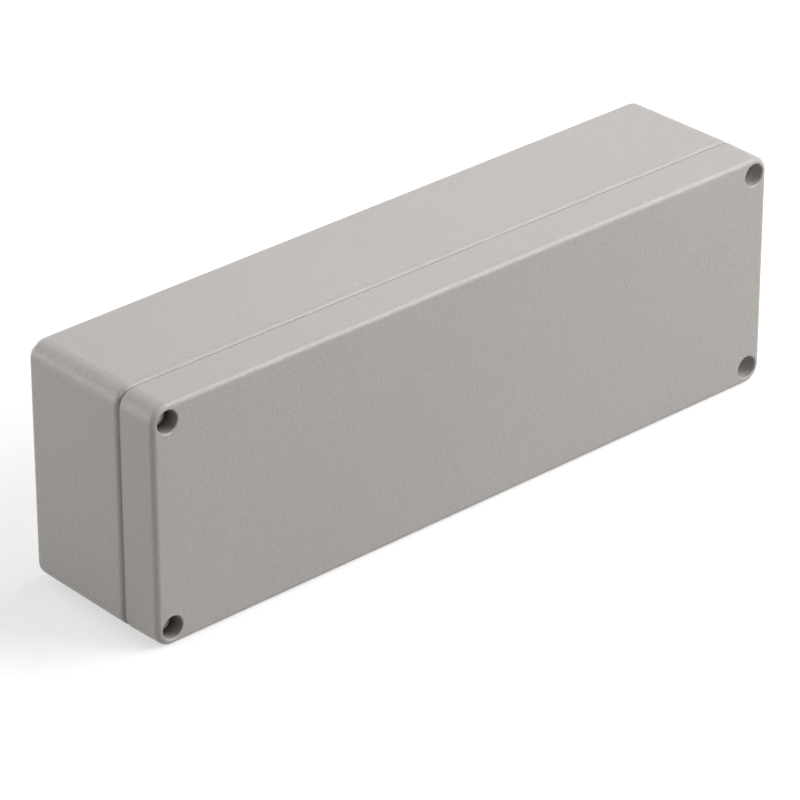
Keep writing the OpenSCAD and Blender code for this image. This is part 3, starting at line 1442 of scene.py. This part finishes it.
@dataclass
class Viewpoint:
    """The camera at the photograph's angle."""

    place: tuple[float, float, float] = (-0.866653, -0.953233, 0.728221)
    heading: float = 42.128
    downward: float = 28.587
    roll: float = -0.039
    lens: float = 215.435
    clip: Pair = (0.05, 50.0)

    def build(self) -> None:
        """Set up the camera."""
        camera = bpy.data.cameras.new("viewpoint")
        camera.lens = self.lens
        camera.clip_start, camera.clip_end = self.clip
        seen = placed("viewpoint", camera)
        seen.rotation_mode = "QUATERNION"
        turn = (
            Matrix.Rotation(-math.radians(self.heading), 3, "Z")
            @ Matrix.Rotation(QUARTER - math.radians(self.downward), 3, "X")
            @ Matrix.Rotation(math.radians(self.roll), 3, "Z")
        )
        seen.rotation_quaternion = turn.to_quaternion()
        seen.location = self.place
        bpy.context.scene.camera = seen


@dataclass
class Studio:
    """Floor, surrounding light and lamps."""

    floor_half: float = 4.0
    seen_floor: float = 0.5
    floor_glow: float = 0.55
    lit_floor: float = 0.42
    ambient: float = 0.06
    fade_from: float = 0.35
    fade_to: float = 0.8

    def seen(self, tree: bpy.types.NodeTree) -> Socket:
        """Tell camera, mirror and glass rays from the rest.

        Args:
            tree: The node tree to add the test to.

        Returns:
            1 for those rays, 0 for the rest.
        """
        path = tree.nodes.new("ShaderNodeLightPath")
        total = path.outputs["Is Camera Ray"]
        for kind in ("Is Glossy Ray", "Is Transmission Ray"):
            most = tree.nodes.new("ShaderNodeMath")
            most.operation = "MAXIMUM"
            tree.links.new(total, most.inputs[0])
            tree.links.new(path.outputs[kind], most.inputs[1])
            total = most.outputs[0]
        return total

    def build(self) -> None:
        """Build the floor, the surrounding light and the lamps."""
        bpy.context.scene.view_settings.view_transform = "Standard"
        self._surround()
        self._floor()
        for lamp in self.lamps():
            lamp.build()

    def lamps(self) -> list[SoftBox]:
        """Return the lamps."""
        return [
            SoftBox("key", 45, 38, 0.735, size=(0.85, 0.85)),
            SoftBox("right", 90, 63, 0.22),
            SoftBox("front", 0, 38, 0.165),
            SoftBox("left_back", 240, 12, 0.26, size=(0.6, 0.5)),
            SoftBox("back_left", 210, 12, 0.14, size=(0.6, 0.5)),
            SoftBox("back", 180, 12, 0.36, size=(0.6, 0.5)),
            SoftBox("back_right", 138, 29, 0.025, size=(0.2, 0.2)),
        ]

    def _surround(self) -> None:
        """Light the box from all round, and show white behind it."""
        world = bpy.data.worlds.new("surround")
        bpy.context.scene.world = world
        world.use_nodes = True
        tree = world.node_tree
        soft = filled(tree.nodes["Background"], color=WHITE, strength=self.ambient)
        white = filled(tree.nodes.new("ShaderNodeBackground"), color=WHITE)
        mix = tree.nodes.new("ShaderNodeMixShader")
        tree.links.new(self.seen(tree), mix.inputs[0])
        tree.links.new(soft.outputs[0], mix.inputs[1])
        tree.links.new(white.outputs[0], mix.inputs[2])
        tree.links.new(mix.outputs[0], tree.nodes["World Output"].inputs[0])

    def _floor(self) -> None:
        """Lay a pale floor that keeps the shadow and turns white far off."""
        mesh = bmesh.new()
        bmesh.ops.create_grid(mesh, x_segments=2, y_segments=2, size=self.floor_half)
        data = bpy.data.meshes.new("floor")
        mesh.to_mesh(data)
        mesh.free()
        floor = placed("floor", data)
        data.materials.append(self._floor_paint())

    def _floor_paint(self) -> Material:
        """Mix the floor's paint.

        Returns:
            The floor's material.
        """
        paint = Surface("floor_paint", "Object")
        nodes, join = paint.tree.nodes, paint.join
        nodes.remove(paint.shader)
        lit = paint.add("ShaderNodeBsdfDiffuse", color=(*[self.seen_floor] * 3, 1))
        glow = paint.add("ShaderNodeEmission", strength=self.floor_glow)
        near = paint.add("ShaderNodeAddShader")
        join(lit.outputs[0], near.inputs[0])
        join(glow.outputs[0], near.inputs[1])
        dull = paint.add("ShaderNodeBsdfDiffuse", color=(*[self.lit_floor] * 3, 1))
        far = paint.add("ShaderNodeEmission")
        reach = paint.add("ShaderNodeVectorMath")
        reach.operation = "LENGTH"
        join(paint.place, reach.inputs[0])
        fade = paint.add("ShaderNodeMapRange")
        fade.interpolation_type = "SMOOTHSTEP"
        filled(fade, from_min=self.fade_from, from_max=self.fade_to)
        join(reach.outputs["Value"], fade.inputs["Value"])
        shown = paint.add("ShaderNodeMixShader")
        join(fade.outputs["Result"], shown.inputs[0])
        join(near.outputs[0], shown.inputs[1])
        join(far.outputs[0], shown.inputs[2])
        mixed = paint.add("ShaderNodeMixShader")
        join(self.seen(paint.tree), mixed.inputs[0])
        join(dull.outputs[0], mixed.inputs[1])
        join(shown.outputs[0], mixed.inputs[2])
        join(mixed.outputs[0], nodes["Material Output"].inputs[0])
        return paint.material


def main() -> None:
    """Build the box's pieces, their finishes and the studio."""
    logging.basicConfig(level=logging.INFO, format="%(name)s: %(message)s")
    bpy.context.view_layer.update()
    skins = [
        PowderCoat("powder_coat").make(),
        CastSkin("cast_aluminium").make(),
        MilledMetal("milled_aluminium").make(),
        # Painted shade: the left recesses darken towards their floors, the right ones
        # keep nearly the clean coat colour.
        RecessCoat("left_recess_shaded_coat").make(),
        RecessCoat("right_recess_coat", deep_shade=(0.41, 0.383, 0.364)).make(),
    ]
    steel = TurnedMetal(
        "turned_steel", (0.74, 0.735, 0.72), (0.86, 0.855, 0.84), 0.42, 0.58
    ).make()
    zinc = TurnedMetal(
        "dull_zinc", (0.66, 0.655, 0.64), (0.78, 0.775, 0.76), 0.55, 0.7
    ).make()
    spring = TurnedMetal("spring_steel", (0.36, 0.36, 0.36), (0.5, 0.5, 0.5)).make()
    brass = TurnedMetal("turned_brass", (0.56, 0.40, 0.16), (0.76, 0.56, 0.26)).make()
    rubber = SealRubber("seal_rubber").make()
    nylon = NaturalNylon("natural_nylon").make()

    BaseCasting("base_casting").dress(skins)
    LidCasting("lid_casting").dress(skins)
    seal = Seal("lid_gasket", "lid")
    seal.dress(seal.build(), rubber)
    for place in ("upper_left", "lower_left", "upper_right", "lower_right"):
        screw = LidScrew(f"lid_screw_{place}", f"screw_{place}")
        screw.dress(screw.build(), zinc)
        washer = CaptiveWasher(f"captive_washer_{place}", "lid")
        washer.dress(washer.build(), nylon)
    for body, facing in (("base", Facing.FRONT), ("lid", Facing.BACK)):
        screw = EarthScrew(f"{body}_earth_screw", body, facing)
        screw.dress(screw.build(), steel)
        split = SpringWasher(f"{body}_earth_spring_washer", body, facing)
        split.dress(split.build(), spring)
        plain = EarthWasher(f"{body}_earth_washer", body, facing)
        plain.dress(plain.build(), brass)
    Studio().build()
    Viewpoint().build()


if __name__ == "__main__":
    main()
